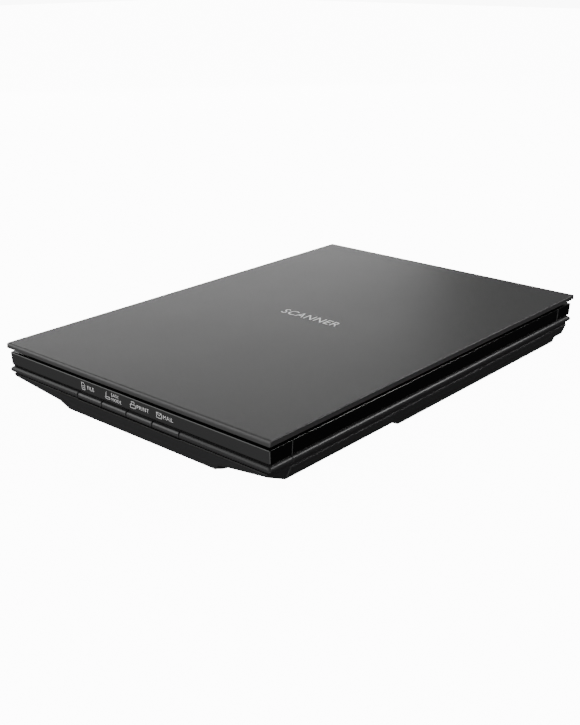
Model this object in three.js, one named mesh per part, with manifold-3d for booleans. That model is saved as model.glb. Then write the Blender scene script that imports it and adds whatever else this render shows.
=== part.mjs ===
// A flatbed document scanner with a contact image sensor, standing on its four rubber feet, lid closed.
// Millimetres. X runs across the button side, Y from the button side to the hinge side, Z up.
// The origin lies on the surface that the feet stand on, below the middle of the lid.

import * as THREE from 'three';
import { mergeVertices } from 'three/addons/utils/BufferGeometryUtils.js';
import { ConvexGeometry } from 'three/addons/geometries/ConvexGeometry.js';
import Module from 'manifold-3d';

const wasm = await Module();
wasm.setup();

// ---- Overall sizes ----
const WIDTH = 250;
const DEPTH = 367;
const HEIGHT = 42;
const GAP = 0.3;                 // left between pieces that touch
const WALL = 2;                  // moulded walls

// ---- Heights of the bands round the sides, from the lid down ----
const LID_THICKNESS = 3.7;
const LID_GAP = 3.1;             // the open shadow line under the lid
const PANEL_HEIGHT = 9.6;
const GROOVE_HEIGHT = 1.2;
const BEAD_HEIGHT = 4.6;

// ---- How far each band stands in from the edge of the lid ----
const PANEL_INSET = 1.5;
const PANEL_LEAN = 0.5;          // the panel's foot stands in further by this
const GROOVE_INSET = 3.2;
const BEAD_INSET = 0.8;
const BEZEL_BACK = 5;            // the inner face of the bezels
const SEAM_FROM_FRONT = 21.5;
const SEAM_FROM_REAR = 23;

// ---- Lower case: an undercut hull ----
const SKIRT_FRONT_INSET = 1.5;
const SKIRT_SIDE_INSET = 3;
const SKIRT_REAR_INSET = 2.5;
const FRONT_UNDERCUT = 8.5;      // the front face leans in by this on its way down
const SKIRT_BAND = 2.5;          // height of the recessed band under the bead
const BAND_RECESS = 0.9;
const SIDE_STEP = 0.7;           // the side faces below stand out from that band by this
const SIDE_LEAN = 3;             // and lean in by this on their way down
const WING_LIFT = 4.3;           // the underside of the sides, above the belly
const WING_BEVEL = 1.5;
const WING_SAG = 0.8;            // that underside drops by this towards the belly
const FRONT_BELLY_HALF = 71;
const FRONT_BELLY_FLARE = 6;
const FRONT_BELLY_RISE = 6;      // height of the flared sides of the front belly
const REAR_BELLY_HALF = 104;
const REAR_BELLY_START = 136.5;  // from the front edge of the lid
const REAR_BELLY_RAMP = 7;
const REAR_BELLY_FLARE = 1;      // the flat sole rises by this towards its sides
const REAR_BELLY_END = 5;        // the sole stops this far short of the skirt's rear
const REAR_CORNER_CUT = 13;      // and its outer corners this far
const BELLY_OVERLAP = 2;         // height by which the bellies run up into the sides

// ---- Feet and screws ----
const FOOT_RADIUS = 9;
const FOOT_HEIGHT = 3;
const FOOT_SEAT = 0.6;           // depth of the recess that a foot is glued into
const SCREW_HEAD_RADIUS = 2.4;
const SCREW_SHANK_RADIUS = 1.4;

// ---- Platen ----
const PLATEN_WIDTH = 216;
const PLATEN_LENGTH = 297;
const PLATEN_FROM_FRONT = 30.5;
const GLASS_THICKNESS = 2.8;
const GLASS_SIDE_MARGIN = 3;
const GLASS_FRONT_MARGIN = 17;
const GLASS_REAR_MARGIN = 10;
const DECK_THICKNESS = 2.2;
const DECK_LIP = 1.2;            // the deck is this thin where it covers the edge of the glass
const STRIP_ROOF = 0.6;          // and this thin over the calibration strip
const STRIP_FRONT_MARGIN = 2;    // from the front edge of the glass
const STRIP_REAR_MARGIN = 3;     // from the platen window

// ---- Lid ----
const LID_CORNER = 1.2;          // radius of the upright corners
const LID_EDGE = 0.7;            // radius along the sides and the rear
const LID_FRONT_EDGE = 2.4;      // the front edge rolls over more softly
const LID_SKIN = 2;
const LID_RIM = 3;
const LINER_INSET = 8;
const LINER_REAR_INSET = 17.5;
const SHEET_THICKNESS = 0.3;
const HINGE_FROM_REAR = 2.5;
const HINGE_DROP = 3.8;          // the hinge axis lies this far below the top of the lid
const KNUCKLE_RADIUS = 2.3;
const KNUCKLE_WIDTH = 10;
const LUG_WIDTH = 4;
const PIN_RADIUS = 1;
const HINGE_HALF_SPACING = 88;
const POST_WIDTH = 12;
const POST_DEPTH = 4.5;
const POST_FROM_REAR = 14;
const POST_LENGTH = 24;
const SOCKET_WALL = 1.5;

// ---- Buttons ----
const BUTTON_COUNT = 4;
const BUTTON_PITCH = 24.4;
const BUTTON_SPLIT = 0.7;        // the dark line between two buttons
const BUTTON_TRAVEL = 0.8;
const BUTTON_DEPTH = 3;
const BOARD_THICKNESS = 1.6;
const BUTTON_BOARD_FROM_FRONT = 10.5;
const SWITCH_HEIGHT = 3.4;

// ---- Carriage ----
const SENSOR_DEPTH = 18;
const SENSOR_HEIGHT = 10.5;
const SENSOR_OVERLENGTH = 4;     // past the platen at each end
const SLIDER_HEIGHT = 1.7;
const SPRING_SPACE = 2;
const SPRING = { halfLength: 10, halfWidth: 3, leaf: 0.5, spacing: 64 };
const TRAY_THICKNESS = 1.5;
const TRAY_WALL = 1.6;
const TRAY_WALL_HEIGHT = 7;
const SADDLE_HALF = 8;           // half the length of the tray's bearing on the shaft
const SHAFT_MOUNT_DEPTH = 2.8;
const HOME_CLEARANCE = 0.9;      // between the bearing and the front mount at home
const SHAFT_RADIUS = 3;
const SHAFT_X = -30;
const SHAFT_DROP = 4.8;          // the shaft's axis lies this far below the tray

// ---- Drive ----
const MODULE = 0.8;
const RACK_PITCH_X = 10;
const RACK_BACK = 6;
const SMALL_TEETH = 12;
const LARGE_TEETH = 40;
const PINION_TEETH = 10;
const GEAR_THICKNESS = 2.6;
const SMALL_GEAR_HEIGHT = 3.6;
const COMPOUND_Y = 5.5;          // from the middle of the sensor
const MOTOR_OFFSET = { x: 12, y: 16 };   // from the compound gear's axis
const MOTOR_RADIUS = 10;
const MOTOR_HEIGHT = 12;
const MOTOR_SKIN = 1.2;
const ROTOR_RADIUS = 6;
const GEAR_BORE = 1.8;
const MOTOR_SHAFT_RADIUS = 1;

// ---- Main board and socket ----
const MAIN_BOARD = { x0: -102, x1: -51, length: 75, fromRear: 9, lift: 2, notch: 14 };
const USB = { x: -72, width: 7.7, height: 3.9, depth: 8.6 };
const RIBBON = { x0: -66, x1: -54, thickness: 0.4 };

// ---- Places worked out from the sizes above ----
const SIDE = WIDTH / 2;
const FRONT = -DEPTH / 2;
const REAR = DEPTH / 2;
const LID_BOTTOM = HEIGHT - LID_THICKNESS;
const DECK_TOP = LID_BOTTOM - LID_GAP;
const PANEL_BOTTOM = DECK_TOP - PANEL_HEIGHT;
const BEAD_TOP = PANEL_BOTTOM - GROOVE_HEIGHT;
const BEAD_BOTTOM = BEAD_TOP - BEAD_HEIGHT;
const RIM = BEAD_BOTTOM - GAP;
const BELLY = FOOT_HEIGHT;
const FLOOR = BELLY + WALL;
const CASE_INSET = BEZEL_BACK + GAP;
const CASE_SPLIT = BEAD_TOP + 0.4;
const DECK_BOTTOM = DECK_TOP - DECK_THICKNESS;

const PLATEN_FRONT = FRONT + PLATEN_FROM_FRONT;
const PLATEN_REAR = PLATEN_FRONT + PLATEN_LENGTH;
const GLASS_TOP = DECK_TOP - DECK_LIP - GAP;
const GLASS_BOTTOM = GLASS_TOP - GLASS_THICKNESS;
const GLASS_HALF = PLATEN_WIDTH / 2 + GLASS_SIDE_MARGIN;
const GLASS_FRONT = PLATEN_FRONT - GLASS_FRONT_MARGIN;
const GLASS_REAR = PLATEN_REAR + GLASS_REAR_MARGIN;
const STRIP_FRONT = GLASS_FRONT + STRIP_FRONT_MARGIN;
const STRIP_REAR = PLATEN_FRONT - STRIP_REAR_MARGIN;

const SLIDER_TOP = GLASS_BOTTOM - GAP;
const SENSOR_TOP = SLIDER_TOP - SLIDER_HEIGHT - GAP;
const SENSOR_BOTTOM = SENSOR_TOP - SENSOR_HEIGHT;
const SENSOR_HALF = PLATEN_WIDTH / 2 + SENSOR_OVERLENGTH;
const TRAY_TOP = SENSOR_BOTTOM - SPRING_SPACE;
const TRAY_BOTTOM = TRAY_TOP - TRAY_THICKNESS;
const TRAY_HALF_DEPTH = SENSOR_DEPTH / 2 + GAP + TRAY_WALL;
const SHAFT_FRONT = FRONT + SKIRT_FRONT_INSET + FRONT_UNDERCUT + WALL + GAP;
const SHAFT_REAR = REAR - SKIRT_REAR_INSET - 5 - WALL - GAP;
const HOME = SHAFT_FRONT + SHAFT_MOUNT_DEPTH + HOME_CLEARANCE + SADDLE_HALF;
const SCAN_END = PLATEN_REAR - 0.5;
const SHAFT_Z = TRAY_BOTTOM - SHAFT_DROP;

const SMALL_RADIUS = MODULE * SMALL_TEETH / 2;
const COMPOUND_X = RACK_PITCH_X - SMALL_RADIUS;
const MOTOR_X = COMPOUND_X + MOTOR_OFFSET.x;
const MOTOR_Y = COMPOUND_Y + MOTOR_OFFSET.y;
const GEAR_TOP = TRAY_BOTTOM - 0.6;
const LARGE_BOTTOM = GEAR_TOP - GEAR_THICKNESS;
const SMALL_BOTTOM = LARGE_BOTTOM - SMALL_GEAR_HEIGHT;
const RACK_TOP = LARGE_BOTTOM - 0.5;

const BUTTON_ROW_HALF = BUTTON_COUNT * BUTTON_PITCH / 2;
const BEAD_MIDDLE = (BEAD_TOP + BEAD_BOTTOM) / 2;
const BUTTON_BOARD_Y = FRONT + BUTTON_BOARD_FROM_FRONT;
const HINGE_Y = REAR - HINGE_FROM_REAR;
const HINGE_Z = HEIGHT - HINGE_DROP;
const POST_Y = REAR - POST_FROM_REAR;
const SCREW_SEAT = RIM - 2.5;
const SCREW_PLACES = [
  { name: 'left_front_screw', x: -SIDE + 30, y: FRONT + 8.6 },
  { name: 'right_front_screw', x: SIDE - 30, y: FRONT + 8.6 },
  { name: 'left_rear_screw', x: -60, y: REAR - 17.5 },
  { name: 'right_rear_screw', x: 60, y: REAR - 17.5 },
];
const FOOT_PLACES = [
  { name: 'left_front_foot', x: -FRONT_BELLY_HALF + 8, y: FRONT + 22.5 },
  { name: 'right_front_foot', x: FRONT_BELLY_HALF - 8, y: FRONT + 22.5 },
  { name: 'left_rear_foot', x: -REAR_BELLY_HALF + 6, y: REAR - 24.5 },
  { name: 'right_rear_foot', x: REAR_BELLY_HALF - 6, y: REAR - 24.5 },
];

// ---- Shape helpers ----

// A three.js geometry as a solid that can be joined and cut.
function solid(geometry) {
  const bare = geometry.index ? geometry.toNonIndexed() : geometry.clone();
  bare.deleteAttribute('normal');
  bare.deleteAttribute('uv');
  const merged = mergeVertices(bare, 1e-5);
  const mesh = new wasm.Mesh({
    numProp: 3,
    vertProperties: new Float32Array(merged.attributes.position.array),
    triVerts: new Uint32Array(merged.index.array),
  });
  return new wasm.Manifold(mesh);
}

// A block between two corners.
function block(x0, x1, y0, y1, z0, z1) {
  const box = new THREE.BoxGeometry(x1 - x0, y1 - y0, z1 - z0);
  box.translate((x0 + x1) / 2, (y0 + y1) / 2, (z0 + z1) / 2);
  return solid(box);
}

// A flat shape, drawn in X and Y, standing between two heights.
function standing(shape, z0, z1, curveSegments = 6) {
  const slab = new THREE.ExtrudeGeometry(shape, { depth: z1 - z0, bevelEnabled: false, curveSegments });
  slab.translate(0, 0, z0);
  return solid(slab);
}

// A closed outline from [a, b] pairs.
function outline(points) {
  return new THREE.Shape(points.map(([a, b]) => new THREE.Vector2(a, b)));
}

// An outline of [y, z] pairs drawn out along X.
function alongX(points, x0, x1) {
  const bar = new THREE.ExtrudeGeometry(outline(points), { depth: x1 - x0, bevelEnabled: false });
  bar.rotateX(Math.PI / 2);
  bar.rotateZ(Math.PI / 2);
  bar.translate(x0, 0, 0);
  return solid(bar);
}

// An outline of [x, z] pairs drawn out along Y.
function alongY(points, y0, y1) {
  const bar = new THREE.ExtrudeGeometry(outline(points), { depth: y1 - y0, bevelEnabled: false });
  bar.rotateX(Math.PI / 2);
  bar.translate(0, y1, 0);
  return solid(bar);
}

// A rectangle with round corners.
function roundedRectangle(x0, x1, y0, y1, radius) {
  const shape = new THREE.Shape();
  shape.moveTo(x0 + radius, y0);
  shape.lineTo(x1 - radius, y0);
  shape.absarc(x1 - radius, y0 + radius, radius, -Math.PI / 2, 0);
  shape.lineTo(x1, y1 - radius);
  shape.absarc(x1 - radius, y1 - radius, radius, 0, Math.PI / 2);
  shape.lineTo(x0 + radius, y1);
  shape.absarc(x0 + radius, y1 - radius, radius, Math.PI / 2, Math.PI);
  shape.lineTo(x0, y0 + radius);
  shape.absarc(x0 + radius, y0 + radius, radius, Math.PI, 1.5 * Math.PI);
  return shape;
}

// A square-cornered slab that stands in from the edge of the lid by the same inset all round.
function planBlock(inset, z0, z1) {
  return block(-SIDE + inset, SIDE - inset, FRONT + inset, REAR - inset, z0, z1);
}

// An upright round bar.
function post(x, y, radius, z0, z1, sides = 16) {
  const bar = new THREE.CylinderGeometry(radius, radius, z1 - z0, sides);
  bar.rotateX(Math.PI / 2);
  bar.translate(x, y, (z0 + z1) / 2);
  return solid(bar);
}

// A round bar along X.
function barAlongX(x0, x1, y, z, radius, sides = 16) {
  const bar = new THREE.CylinderGeometry(radius, radius, x1 - x0, sides);
  bar.rotateZ(Math.PI / 2);
  bar.translate((x0 + x1) / 2, y, z);
  return solid(bar);
}

// A round bar along Y.
function barAlongY(x, z, radius, y0, y1, sides = 16) {
  const bar = new THREE.CylinderGeometry(radius, radius, y1 - y0, sides);
  bar.translate(x, (y0 + y1) / 2, z);
  return solid(bar);
}

function join(...solids) {
  return solids.reduce((whole, next) => whole.add(next));
}

// Finishes, as [colour, roughness, metalness].
const FINISH = {
  matte: [0x3a3a3b, 0.55, 0],
  gloss: [0x0b0b0c, 0.15, 0],
  casing: [0x1c1c1d, 0.5, 0],
  rubber: [0x121212, 0.9, 0],
  glass: [0xbfd0cc, 0.05, 0],
  white: [0xf2f2ee, 0.6, 0],
  foam: [0xd9d9d4, 0.95, 0],
  board: [0x1f5a34, 0.5, 0],
  steel: [0xb8babd, 0.3, 1],
  acetal: [0xe8e6de, 0.45, 0],
  chip: [0x17181a, 0.5, 0],
  ribbon: [0xdfe3e8, 0.5, 0],
};

const scanner = new THREE.Group();

// Adds one named piece to a group.
function piece(name, shape, finish, parent = scanner) {
  const cut = shape.getMesh();
  const geometry = new THREE.BufferGeometry();
  geometry.setAttribute('position', new THREE.BufferAttribute(new Float32Array(cut.vertProperties), 3));
  geometry.setIndex(new THREE.BufferAttribute(new Uint32Array(cut.triVerts), 1));
  const [color, roughness, metalness] = FINISH[finish];
  const mesh = new THREE.Mesh(geometry, new THREE.MeshStandardMaterial({ color, roughness, metalness }));
  mesh.name = name;
  parent.add(mesh);
  return mesh;
}

// ---- Bezels: front, rear and side mouldings that carry the side panels and the bead ----

// The profile of the bands, from the deck down to the foot of the bead, as [inset, z].
function bandProfile() {
  const bead = [];
  const arcSteps = 8;
  for (let i = 0; i <= arcSteps; i += 1) {
    const turn = Math.PI * i / arcSteps;
    const reach = (GROOVE_INSET - BEAD_INSET) * Math.sin(turn);
    bead.push([GROOVE_INSET - reach, BEAD_MIDDLE + BEAD_HEIGHT / 2 * Math.cos(turn)]);
  }
  return [
    [PANEL_INSET, DECK_TOP],
    [PANEL_INSET + PANEL_LEAN, PANEL_BOTTOM],
    [GROOVE_INSET, PANEL_BOTTOM - GROOVE_HEIGHT / 2],
    ...bead,
  ];
}

// The same profile at both ends of a span, as a closed outline.
function bandOutline(half) {
  const profile = bandProfile();
  const right = profile.map(([inset, z]) => [half - inset, z]);
  const left = profile.map(([inset, z]) => [inset - half, z]).reverse();
  return [...right, ...left];
}

// The whole ring of bands, mitred at the corners.
function bandRing() {
  const across = alongY(bandOutline(SIDE), FRONT, REAR);
  const along = alongX(bandOutline(DEPTH / 2), -SIDE, SIDE);
  const core = planBlock(BEZEL_BACK, BEAD_BOTTOM - 1, DECK_TOP + 1);
  return across.intersect(along).subtract(core);
}

// The slot in the front bead that the row of buttons fills.
function buttonWindow() {
  const half = BUTTON_ROW_HALF + GAP;
  return block(-half, half, FRONT - 1, FRONT + CASE_INSET + WALL + 1, BEAD_BOTTOM - 1, BEAD_TOP + 0.1);
}

function addBezels() {
  const ring = bandRing();
  const frontSeam = FRONT + SEAM_FROM_FRONT;
  const rearSeam = REAR - SEAM_FROM_REAR;
  const low = BEAD_BOTTOM - 1;
  const high = DECK_TOP + 1;
  const frontZone = block(-SIDE, SIDE, FRONT, frontSeam - GAP, low, high);
  const rearZone = block(-SIDE, SIDE, rearSeam + GAP, REAR, low, high);
  piece('front_bezel', ring.intersect(frontZone).subtract(buttonWindow()), 'matte');
  piece('rear_bezel', ring.intersect(rearZone), 'matte');
  piece('left_bezel', ring.intersect(block(-SIDE, 0, frontSeam, rearSeam, low, high)), 'gloss');
  piece('right_bezel', ring.intersect(block(0, SIDE, frontSeam, rearSeam, low, high)), 'gloss');
}

// ---- Lower case: one undercut moulding, open at the top ----

// Corner points on both sides of the middle plane, taken in by a wall.
function mirrored(points, wall) {
  return points.flatMap(([x, y, z, lift = wall]) => {
    const inY = y < 0 ? y + wall : y - wall;
    const inX = x - wall;
    return [new THREE.Vector3(inX, inY, z + lift), new THREE.Vector3(-inX, inY, z + lift)];
  });
}

function convex(points) {
  return solid(new ConvexGeometry(points));
}

// The hull from the rim down to the belly. With a wall it is the hollow inside the case, open above.
function hull(wall) {
  const open = wall > 0 ? WALL : 0;
  const skirtFront = FRONT + SKIRT_FRONT_INSET;
  const skirtRear = REAR - SKIRT_REAR_INSET;
  const bandX = SIDE - SKIRT_SIDE_INSET - BAND_RECESS;
  const sideX = bandX + SIDE_STEP;
  const footX = sideX - SIDE_LEAN;
  const bevelX = footX - WING_BEVEL;
  const stepZ = RIM - SKIRT_BAND;
  const underZ = BELLY + WING_LIFT;
  const footZ = underZ + WING_BEVEL;
  const rootZ = underZ - WING_SAG;
  const flareZ = BELLY + FRONT_BELLY_RISE;
  const facetY = FRONT + SEAM_FROM_FRONT;
  const flareX = FRONT_BELLY_HALF + FRONT_BELLY_FLARE;
  const undercutAt = (z) => skirtFront + FRONT_UNDERCUT * (RIM - z) / (RIM - BELLY);
  const core = mirrored([
    [bandX, skirtFront, RIM, open],
    [bandX, skirtRear, RIM, open],
    [bandX, undercutAt(stepZ), stepZ],
    [bandX, skirtRear, stepZ],
    [footX - SIDE_STEP, facetY, footZ],
    [footX - SIDE_STEP, skirtRear, footZ],
    [bevelX - SIDE_STEP, facetY, underZ],
    [bevelX - SIDE_STEP, skirtRear, underZ],
    [flareX, undercutAt(flareZ), flareZ],
    [flareX, facetY, rootZ],
    [flareX, skirtRear, rootZ],
  ], wall);
  const sides = mirrored([
    [sideX, facetY + SIDE_STEP, stepZ],
    [sideX, skirtRear, stepZ],
    [footX, facetY, footZ],
    [footX, skirtRear, footZ],
    [bevelX, facetY, underZ],
    [bevelX, skirtRear, underZ],
    [flareX, facetY + SIDE_STEP, footZ],
    [flareX, skirtRear, footZ],
  ], wall);
  const frontBelly = mirrored([
    [FRONT_BELLY_HALF, undercutAt(BELLY), BELLY],
    [flareX, undercutAt(flareZ), flareZ],
    [flareX, undercutAt(flareZ + BELLY_OVERLAP), flareZ + BELLY_OVERLAP],
    [FRONT_BELLY_HALF, 0, BELLY],
    [flareX, 0, flareZ],
    [flareX, 0, flareZ + BELLY_OVERLAP],
  ], wall);
  const rearStart = FRONT + REAR_BELLY_START;
  const soleZ = BELLY + REAR_BELLY_FLARE;
  const rampEnd = skirtRear - REAR_CORNER_CUT + REAR_BELLY_RAMP / 2;
  const rearBelly = mirrored([
    [REAR_BELLY_HALF, rearStart, BELLY],
    [bevelX, rearStart, soleZ],
    [bevelX, rearStart - REAR_BELLY_RAMP, underZ],
    [bevelX, rearStart - REAR_BELLY_RAMP, underZ + BELLY_OVERLAP],
    [REAR_BELLY_HALF, skirtRear - REAR_BELLY_END, BELLY],
    [bevelX, skirtRear - REAR_CORNER_CUT, soleZ],
    [bevelX, rampEnd, underZ],
    [bevelX, rampEnd, underZ + BELLY_OVERLAP],
    [REAR_BELLY_HALF, skirtRear, underZ],
  ], wall);
  return join(convex(core), convex(sides), convex(frontBelly), convex(rearBelly));
}

// The upright wall that stands inside the bezels, with the flange that joins it to the rim.
function innerWall() {
  const wall = planBlock(CASE_INSET, RIM - 1.2, CASE_SPLIT - GAP);
  const flange = planBlock(SKIRT_SIDE_INSET + 1, RIM - 1.2, RIM);
  const core = planBlock(CASE_INSET + WALL, RIM - 3, CASE_SPLIT + 1);
  return join(wall, flange).subtract(core);
}

// A column for each case screw, with its bore and the recess for the screw's head.
function screwColumns(outerHull) {
  const keepIn = planBlock(CASE_INSET, 0, CASE_SPLIT - GAP);
  const inCase = join(outerHull, planBlock(CASE_INSET, RIM - 1, CASE_SPLIT - GAP));
  const columns = SCREW_PLACES.map(({ x, y }) => post(x, y, SCREW_HEAD_RADIUS + 1.4, 0, CASE_SPLIT - GAP));
  return join(...columns).intersect(keepIn).intersect(inCase);
}

function screwBores() {
  const bores = SCREW_PLACES.map(({ x, y }) => join(
    post(x, y, SCREW_HEAD_RADIUS + GAP, -1, SCREW_SEAT),
    post(x, y, SCREW_SHANK_RADIUS + GAP, -1, DECK_BOTTOM - 1.5),
  ));
  return join(...bores);
}

function footSeats() {
  return join(...FOOT_PLACES.map(({ x, y }) => post(x, y, FOOT_RADIUS + GAP, 0, BELLY + FOOT_SEAT, 32)));
}

// The hole in the rear wall for the data socket.
function usbOpening() {
  const board = FLOOR + MAIN_BOARD.lift + BOARD_THICKNESS;
  const half = USB.width / 2 + GAP;
  return block(USB.x - half, USB.x + half, REAR - 12, REAR, board - GAP, board + GAP + USB.height + GAP);
}

// Four studs that carry the main board.
function boardStuds() {
  const y1 = REAR - MAIN_BOARD.fromRear;
  const y0 = y1 - MAIN_BOARD.length;
  const inset = 5;
  const xs = [MAIN_BOARD.x0 + inset + 2, MAIN_BOARD.x1 - inset];
  const ys = [y0 + inset, y1 - 4 * inset];
  const top = FLOOR + MAIN_BOARD.lift - GAP;
  return join(...xs.flatMap((x) => ys.map((y) => post(x, y, 2.2, BELLY + 1, top, 10))));
}

function addLowerCase() {
  const outer = hull(0);
  const shell = join(outer.subtract(hull(WALL)), innerWall(), screwColumns(outer), boardStuds());
  const cuts = join(screwBores(), footSeats(), usbOpening(), buttonWindow());
  piece('lower_case', shell.subtract(cuts), 'casing');
}

function addFeet() {
  for (const { name, x, y } of FOOT_PLACES) {
    const profile = [
      [0, 0],
      [FOOT_RADIUS - 1, 0],
      [FOOT_RADIUS, 1],
      [FOOT_RADIUS, BELLY + FOOT_SEAT - GAP],
      [0, BELLY + FOOT_SEAT - GAP],
    ];
    const foot = new THREE.LatheGeometry(profile.map(([r, z]) => new THREE.Vector2(r, z)), 32);
    foot.rotateX(Math.PI / 2);
    piece(name, solid(foot), 'rubber').position.set(x, y, 0);
  }
}

function addScrews() {
  for (const { name, x, y } of SCREW_PLACES) {
    const head = post(0, 0, SCREW_HEAD_RADIUS, -2 - GAP, -GAP);
    const shank = post(0, 0, SCREW_SHANK_RADIUS, -1, DECK_BOTTOM - 2.5 - SCREW_SEAT, 12);
    const slots = join(
      block(-0.35, 0.35, -1.5, 1.5, -3, -1.4),
      block(-1.5, 1.5, -0.35, 0.35, -3, -1.4),
    );
    piece(name, join(head, shank).subtract(slots), 'steel').position.set(x, y, SCREW_SEAT);
  }
}

// ---- Upper case: the deck round the platen, with its glass ----

function platenWindow() {
  const half = PLATEN_WIDTH / 2;
  return block(-half, half, PLATEN_FRONT, PLATEN_REAR, DECK_BOTTOM - 1, DECK_TOP + 1);
}

function glassPocket() {
  const half = GLASS_HALF + GAP;
  return block(-half, half, GLASS_FRONT - GAP, GLASS_REAR + GAP, CASE_SPLIT, DECK_TOP - DECK_LIP);
}

// The pocket under the lip that the calibration strip lies in.
function stripPocket() {
  const half = PLATEN_WIDTH / 2 + GAP;
  return block(-half, half, STRIP_FRONT - GAP, STRIP_REAR + GAP, CASE_SPLIT, DECK_TOP - STRIP_ROOF);
}

function hingeSlots(clearance) {
  const halfX = POST_WIDTH / 2 + clearance;
  const halfY = POST_DEPTH / 2 + clearance;
  const slots = [-1, 1].map((side) => {
    const x = side * HINGE_HALF_SPACING;
    return block(x - halfX, x + halfX, POST_Y - halfY, POST_Y + halfY, BELLY, DECK_TOP + 1);
  });
  return join(...slots);
}

function addUpperCase() {
  const shell = planBlock(CASE_INSET, CASE_SPLIT, DECK_TOP)
    .subtract(planBlock(CASE_INSET + WALL, CASE_SPLIT - 1, DECK_BOTTOM));
  const keepIn = planBlock(CASE_INSET, CASE_SPLIT, DECK_TOP);
  const columns = SCREW_PLACES.map(({ x, y }) => post(x, y, SCREW_HEAD_RADIUS + 1.4, CASE_SPLIT, DECK_TOP));
  const cuts = join(platenWindow(), glassPocket(), stripPocket(), screwBores(), hingeSlots(GAP));
  piece('upper_case', join(shell, join(...columns).intersect(keepIn)).subtract(cuts), 'casing');
}

function addGlass() {
  const pane = block(-GLASS_HALF, GLASS_HALF, GLASS_FRONT, GLASS_REAR, GLASS_BOTTOM, GLASS_TOP);
  piece('platen_glass', pane, 'glass');
  const half = PLATEN_WIDTH / 2;
  const z0 = GLASS_TOP + GAP;
  const strip = block(-half, half, STRIP_FRONT, STRIP_REAR, z0, z0 + SHEET_THICKNESS);
  piece('calibration_strip', strip, 'white');
}

// Tubes under the deck that guide the hinge posts.
function addHingeSockets() {
  const z1 = DECK_BOTTOM - GAP;
  const z0 = DECK_TOP - POST_LENGTH;
  for (const [name, side] of [['left_hinge_socket', -1], ['right_hinge_socket', 1]]) {
    const x = side * HINGE_HALF_SPACING;
    const halfX = POST_WIDTH / 2 + GAP + SOCKET_WALL;
    const halfY = POST_DEPTH / 2 + GAP + SOCKET_WALL;
    const tube = block(x - halfX, x + halfX, POST_Y - halfY, POST_Y + halfY, z0, z1);
    piece(name, tube.subtract(hingeSlots(GAP)), 'casing');
  }
}

// ---- Buttons: four caps that continue the bead, and the board they press ----

const BUTTON_NAMES = ['document_button', 'auto_button', 'copy_button', 'send_button'];

function buttonCap() {
  const half = (BUTTON_PITCH - BUTTON_SPLIT) / 2;
  const bead = bandProfile().slice(3).map(([inset, z]) => [FRONT + inset, z]);
  const back = FRONT + BEAD_INSET + BUTTON_DEPTH;
  const low = BEAD_BOTTOM + 0.2;
  const cap = alongX([...bead, [back, BEAD_BOTTOM], [back, BEAD_TOP]], -half, half);
  return cap.intersect(block(-half, half, FRONT, 0, low, BEAD_TOP - 0.2));
}

function addButtons() {
  const stemY = FRONT + BEAD_INSET + BUTTON_DEPTH - 0.5;
  const pressY = BUTTON_BOARD_Y - GAP - SWITCH_HEIGHT - BUTTON_TRAVEL - GAP;
  BUTTON_NAMES.forEach((name, i) => {
    const stem = block(-2, 2, stemY, pressY, BEAD_MIDDLE - 1.2, BEAD_MIDDLE + 1.2);
    const x = (i - (BUTTON_COUNT - 1) / 2) * BUTTON_PITCH;
    piece(name, join(buttonCap(), stem), 'matte').position.set(x, 0, 0);
  });
}

function addButtonBoard() {
  const half = BUTTON_ROW_HALF + 2;
  const y1 = BUTTON_BOARD_Y + BOARD_THICKNESS;
  piece('button_board', block(-half, half, BUTTON_BOARD_Y, y1, BEAD_BOTTOM - 4, CASE_SPLIT - GAP), 'board');
  for (let i = 0; i < BUTTON_COUNT; i += 1) {
    const x = (i - (BUTTON_COUNT - 1) / 2) * BUTTON_PITCH;
    const y = BUTTON_BOARD_Y - GAP;
    const can = block(-2.8, 2.8, y - SWITCH_HEIGHT + 1, y, BEAD_MIDDLE - 2.8, BEAD_MIDDLE + 2);
    const plunger = barAlongY(0, BEAD_MIDDLE, 1.4, y - SWITCH_HEIGHT, y - SWITCH_HEIGHT + 1.5, 12);
    piece(`tact_switch_${i + 1}`, join(can, plunger), 'chip').position.set(x, 0, 0);
  }
}

// ---- Main board with the data socket. A corner of the board is cut away round a screw column ----

function addMainBoard() {
  const y1 = REAR - MAIN_BOARD.fromRear;
  const y0 = y1 - MAIN_BOARD.length;
  const z0 = FLOOR + MAIN_BOARD.lift;
  const z1 = z0 + BOARD_THICKNESS;
  const top = z1 + GAP;
  const corner = block(MAIN_BOARD.x1 - MAIN_BOARD.notch, SIDE, y1 - MAIN_BOARD.notch, REAR, z0 - 1, z1 + 1);
  piece('main_board', block(MAIN_BOARD.x0, MAIN_BOARD.x1, y0, y1, z0, z1).subtract(corner), 'board');
  piece('controller_chip', block(-92, -78, y0 + 26, y0 + 40, top, top + 1.2), 'chip');
  const connector = block(RIBBON.x0 - 1.5, RIBBON.x1 + 1.5, y0 + 4, y0 + 9, top, top + 2.4);
  const mouth = block(RIBBON.x0 - GAP, RIBBON.x1 + GAP, y0 + 3, y0 + 8, top + 0.9, top + 1.9);
  piece('ribbon_connector', connector.subtract(mouth), 'acetal');
  const rear = REAR - SKIRT_REAR_INSET - GAP;
  const x0 = USB.x - USB.width / 2;
  const x1 = x0 + USB.width;
  const front = rear - USB.depth;
  const skin = 0.5;
  const inside = block(x0 + skin, x1 - skin, front + 2 * skin, rear + 1, top + skin, top + USB.height - skin);
  const shell = block(x0, x1, front, rear, top, top + USB.height);
  const tongue = block(USB.x - 2.4, USB.x + 2.4, front, rear - 2, top + 1.6, top + 2.3);
  piece('usb_receptacle', join(shell.subtract(inside), tongue), 'steel');
}

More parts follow.
